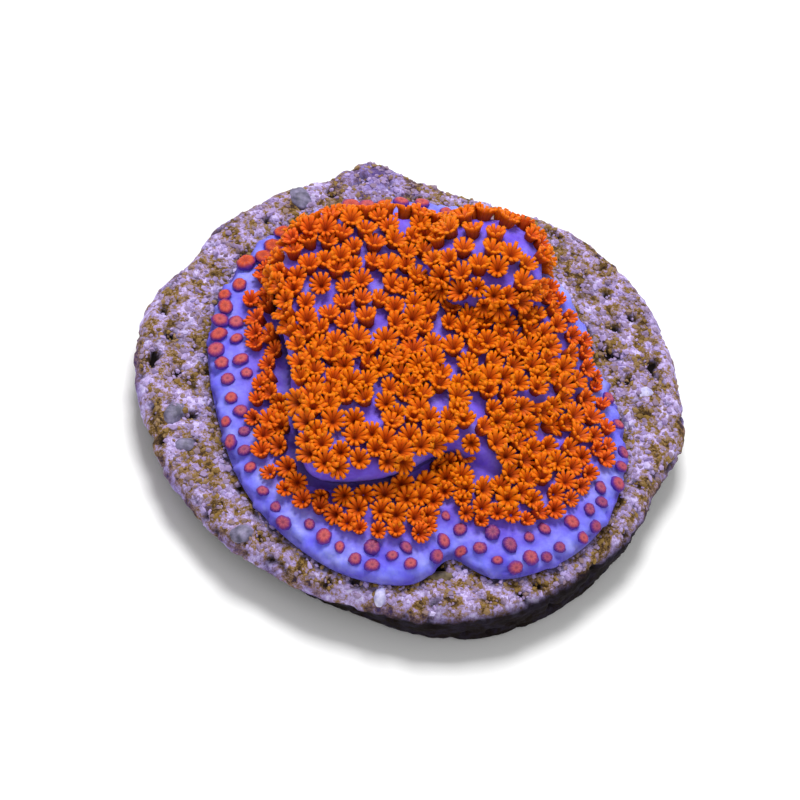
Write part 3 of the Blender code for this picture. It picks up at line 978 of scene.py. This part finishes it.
def plant(models, stands, name, skin, draw):
    """Copies of the models in one piece, at (matrix, tint) stands.

    Every copy keeps its own places across and along as "own_place", with its number of spokes.
    """
    points, faces, reach, tints, own_places = [], [], [], [], []
    for stand, tint in stands:
        model = draw.choice(models)
        start = len(points)
        spokes = model.get("spokes", 0)
        points += [stand @ vert.co for vert in model.data.vertices]
        faces += [[start + index for index in face.vertices] for face in model.data.polygons]
        reach += [item.value for item in model.data.attributes["reach"].data]
        tints += [tint] * len(model.data.vertices)
        for vert in model.data.vertices:
            own_places += (vert.co.x, vert.co.y, spokes)
    mesh = bpy.data.meshes.new(name)
    mesh.from_pydata(points, [], faces)
    piece = bpy.data.objects.new(name, mesh)
    bpy.context.scene.collection.objects.link(piece)
    write_attribute(piece, "reach", reach)
    write_attribute(piece, "tint", tints)
    mesh.attributes.new("own_place", "FLOAT_VECTOR", "POINT").data.foreach_set("vector", own_places)
    return finish_piece(piece, name, skin)


def stand_on(centre, axis, turn, size):
    """The matrix that stands a model on a place, along an axis."""
    upright = axis.to_track_quat("Z", "Y").to_matrix().to_4x4()
    return (Matrix.Translation(centre) @ upright @ Matrix.Rotation(turn, 4, "Z")
            @ Matrix.Scale(size, 4))


def remove(models):
    """Take away the models that have been copied."""
    for model in models:
        bpy.data.objects.remove(model)


def lean(centre, axis, draw):
    """A polyp's axis with its own random tilt, and away from the wall where it is under the lip."""
    axis = axis + TILT * Vector([draw.uniform(-1.0, 1.0) for _ in range(3)])
    away = -inset(TIER, centre.x, centre.y)
    if 0.0 < away and tier_top(centre.x, centre.y) - crust_top(centre.x, centre.y) > LEAST_LIP_STEP:
        out = Vector((centre.x - TIER.x, centre.y - TIER.y, 0.0)).normalized()
        axis += LIP_LEAN * max(0.0, 1.0 - away / LIP_LEAN_REACH) * out
    axis.z = max(axis.z, LEAST_RISE)
    return axis.normalized()


def make_polyps(places, walls, skin):
    """The open polyps, a piece for each of the crust, the tier, the knob and the steep walls:
    smaller and redder towards the growing edge."""
    noise.seed_set(NOISE_SEED)
    models = [model_polyp(tentacles, spread, seed)
              for seed, (tentacles, spread) in enumerate(POLYP_MODELS)]
    draw = random.Random(POLYP_SEED + 3)
    for name, form in (("crust", crust_top), ("tier", tier_top), ("knob", knob_top)):
        stands = []
        for centre, axis, size, turn in places:
            if colony_form(centre.x, centre.y) is form:
                room = inset(CRUST, centre.x, centre.y) - bare_edge(centre.x, centre.y)
                inner = min(1.0, room / EDGE_FADE)
                size *= CROWN_SIZE * (0.8 + 0.2 * inner)
                angle = math.atan2(centre.y - CRUST.y, centre.x - CRUST.x)
                red = 0.55 * (1.0 - inner) + draw.uniform(0.0, 0.25)
                red += (0.8 - 0.5 * inner) * soft_bump(angle, *BACK_LEFT)
                upright = stand_on(centre, lean(centre, axis, draw), turn, size)
                stands.append((upright, min(1.0, red)))
        plant(models, stands, name + "_polyps", skin, draw)
    stands = []
    for centre, axis, size, turn in walls:
        upright = stand_on(centre, lean(centre, axis, draw), turn, size * CROWN_SIZE)
        stands.append((upright, draw.uniform(0.0, 0.3)))
    plant(models, stands, "wall_polyps", skin, draw)
    remove(models)


def make_buds(places, skin):
    """The retracted polyps of the growing edge, in one piece: red at the back left, else dusky."""
    models = [model_bud(spokes, seed) for seed, spokes in enumerate(BUD_MODELS)]
    draw = random.Random(POLYP_SEED + 4)
    stands = []
    for centre, axis, size, turn in places:
        narrow = Matrix.Diagonal((1.0, draw.uniform(0.72, 1.0), 1.0, 1.0))
        angle = math.atan2(centre.y - CRUST.y, centre.x - CRUST.x)
        cool = draw.uniform(0.3, 1.0) * (1.0 - soft_bump(angle, *BACK_LEFT))
        stands.append((stand_on(centre, axis, turn, size) @ narrow, cool))
    plant(models, stands, "edge_polyps", skin, draw)
    remove(models)


# Stage

def make_stage():
    """Pale floor, and soft light from overhead and a little behind."""
    deselect()
    bpy.ops.mesh.primitive_plane_add(size=0.8)
    floor = bpy.context.active_object
    floor.name = "floor"
    paper = bpy.data.materials.new("white_paper")
    paper.use_nodes = True
    shader = paper.node_tree.nodes["Principled BSDF"]
    shader.inputs["Base Color"].default_value = linear("#FFFFFF")
    shader.inputs["Roughness"].default_value = 0.9
    floor.data.materials.append(paper)

    world = bpy.data.worlds.new("studio")
    bpy.context.scene.world = world
    world.use_nodes = True
    sky = world.node_tree.nodes["Background"]
    sky.inputs["Color"].default_value = (1.0, 1.0, 1.0, 1.0)
    sky.inputs["Strength"].default_value = WORLD_STRENGTH

    for name, place, size, power in LAMPS:
        lamp = bpy.data.lights.new(name, "AREA")
        lamp.size = size
        lamp.energy = power
        light = bpy.data.objects.new(name, lamp)
        light.location = place
        light.rotation_euler = Vector(place).to_track_quat("Z", "Y").to_euler()
        bpy.context.scene.collection.objects.link(light)


def make_camera():
    """A long lens at the photograph's angle, rolled so that the disc leans as it does there."""
    elevation, roll = math.radians(CAMERA_ELEVATION), math.radians(CAMERA_ROLL)
    forward = Vector((0.0, math.cos(elevation), -math.sin(elevation)))
    level = Vector((1.0, 0.0, 0.0))
    upright = Vector((0.0, math.sin(elevation), math.cos(elevation)))
    right = math.cos(roll) * level + math.sin(roll) * upright
    up = -math.sin(roll) * level + math.cos(roll) * upright
    focal = PIXELS_PER_MM * CAMERA_DISTANCE
    aside = (AIM_PIXEL[0] - PICTURE / 2.0) / focal
    above = (PICTURE / 2.0 - AIM_PIXEL[1]) / focal
    place = AIM - CAMERA_DISTANCE * (forward + aside * right + above * up)
    camera = bpy.data.cameras.new("camera")
    camera.sensor_width = 36.0
    camera.lens = focal * camera.sensor_width / PICTURE
    camera.clip_start = 0.01
    obj = bpy.data.objects.new("camera", camera)
    turn = Matrix((right, up, -forward)).transposed().to_4x4()
    obj.matrix_world = Matrix.Translation(place * MM) @ turn
    bpy.context.scene.collection.objects.link(obj)
    bpy.context.scene.camera = obj


def main():
    """Every piece, the light, the floor and the camera."""
    make_camera()
    stone = stone_material()
    grey = pebble_material("grey_blue_pebble", "#8E86A8", "#4A465C")
    shell = pebble_material("shell_chip", "#E4E0FF", "#A9A4D8")
    nodule = pebble_material("brown_nodule", "#7C6A4A", "#3A2A1C")
    make_grains(make_disc(stone), grain_material())
    own_skins = {"shell_chip": shell, "brown_nodule": nodule, "pale_pebble_right": shell}
    for name, *rest in PEBBLES:
        make_pebble(name, *rest, own_skins.get(name, grey))
    places = polyp_places()
    buds = bud_places(places)
    feet = [centre for centre, _, _, _ in places] + [centre for centre, _, _, _ in buds]
    colony = make_skin(tissue_material(), feet)
    make_polyps(places, wall_places(colony, places), polyp_material())
    make_buds(buds, bud_material())
    make_stage()
    bpy.context.scene.view_settings.view_transform = "Standard"
    deselect()


main()
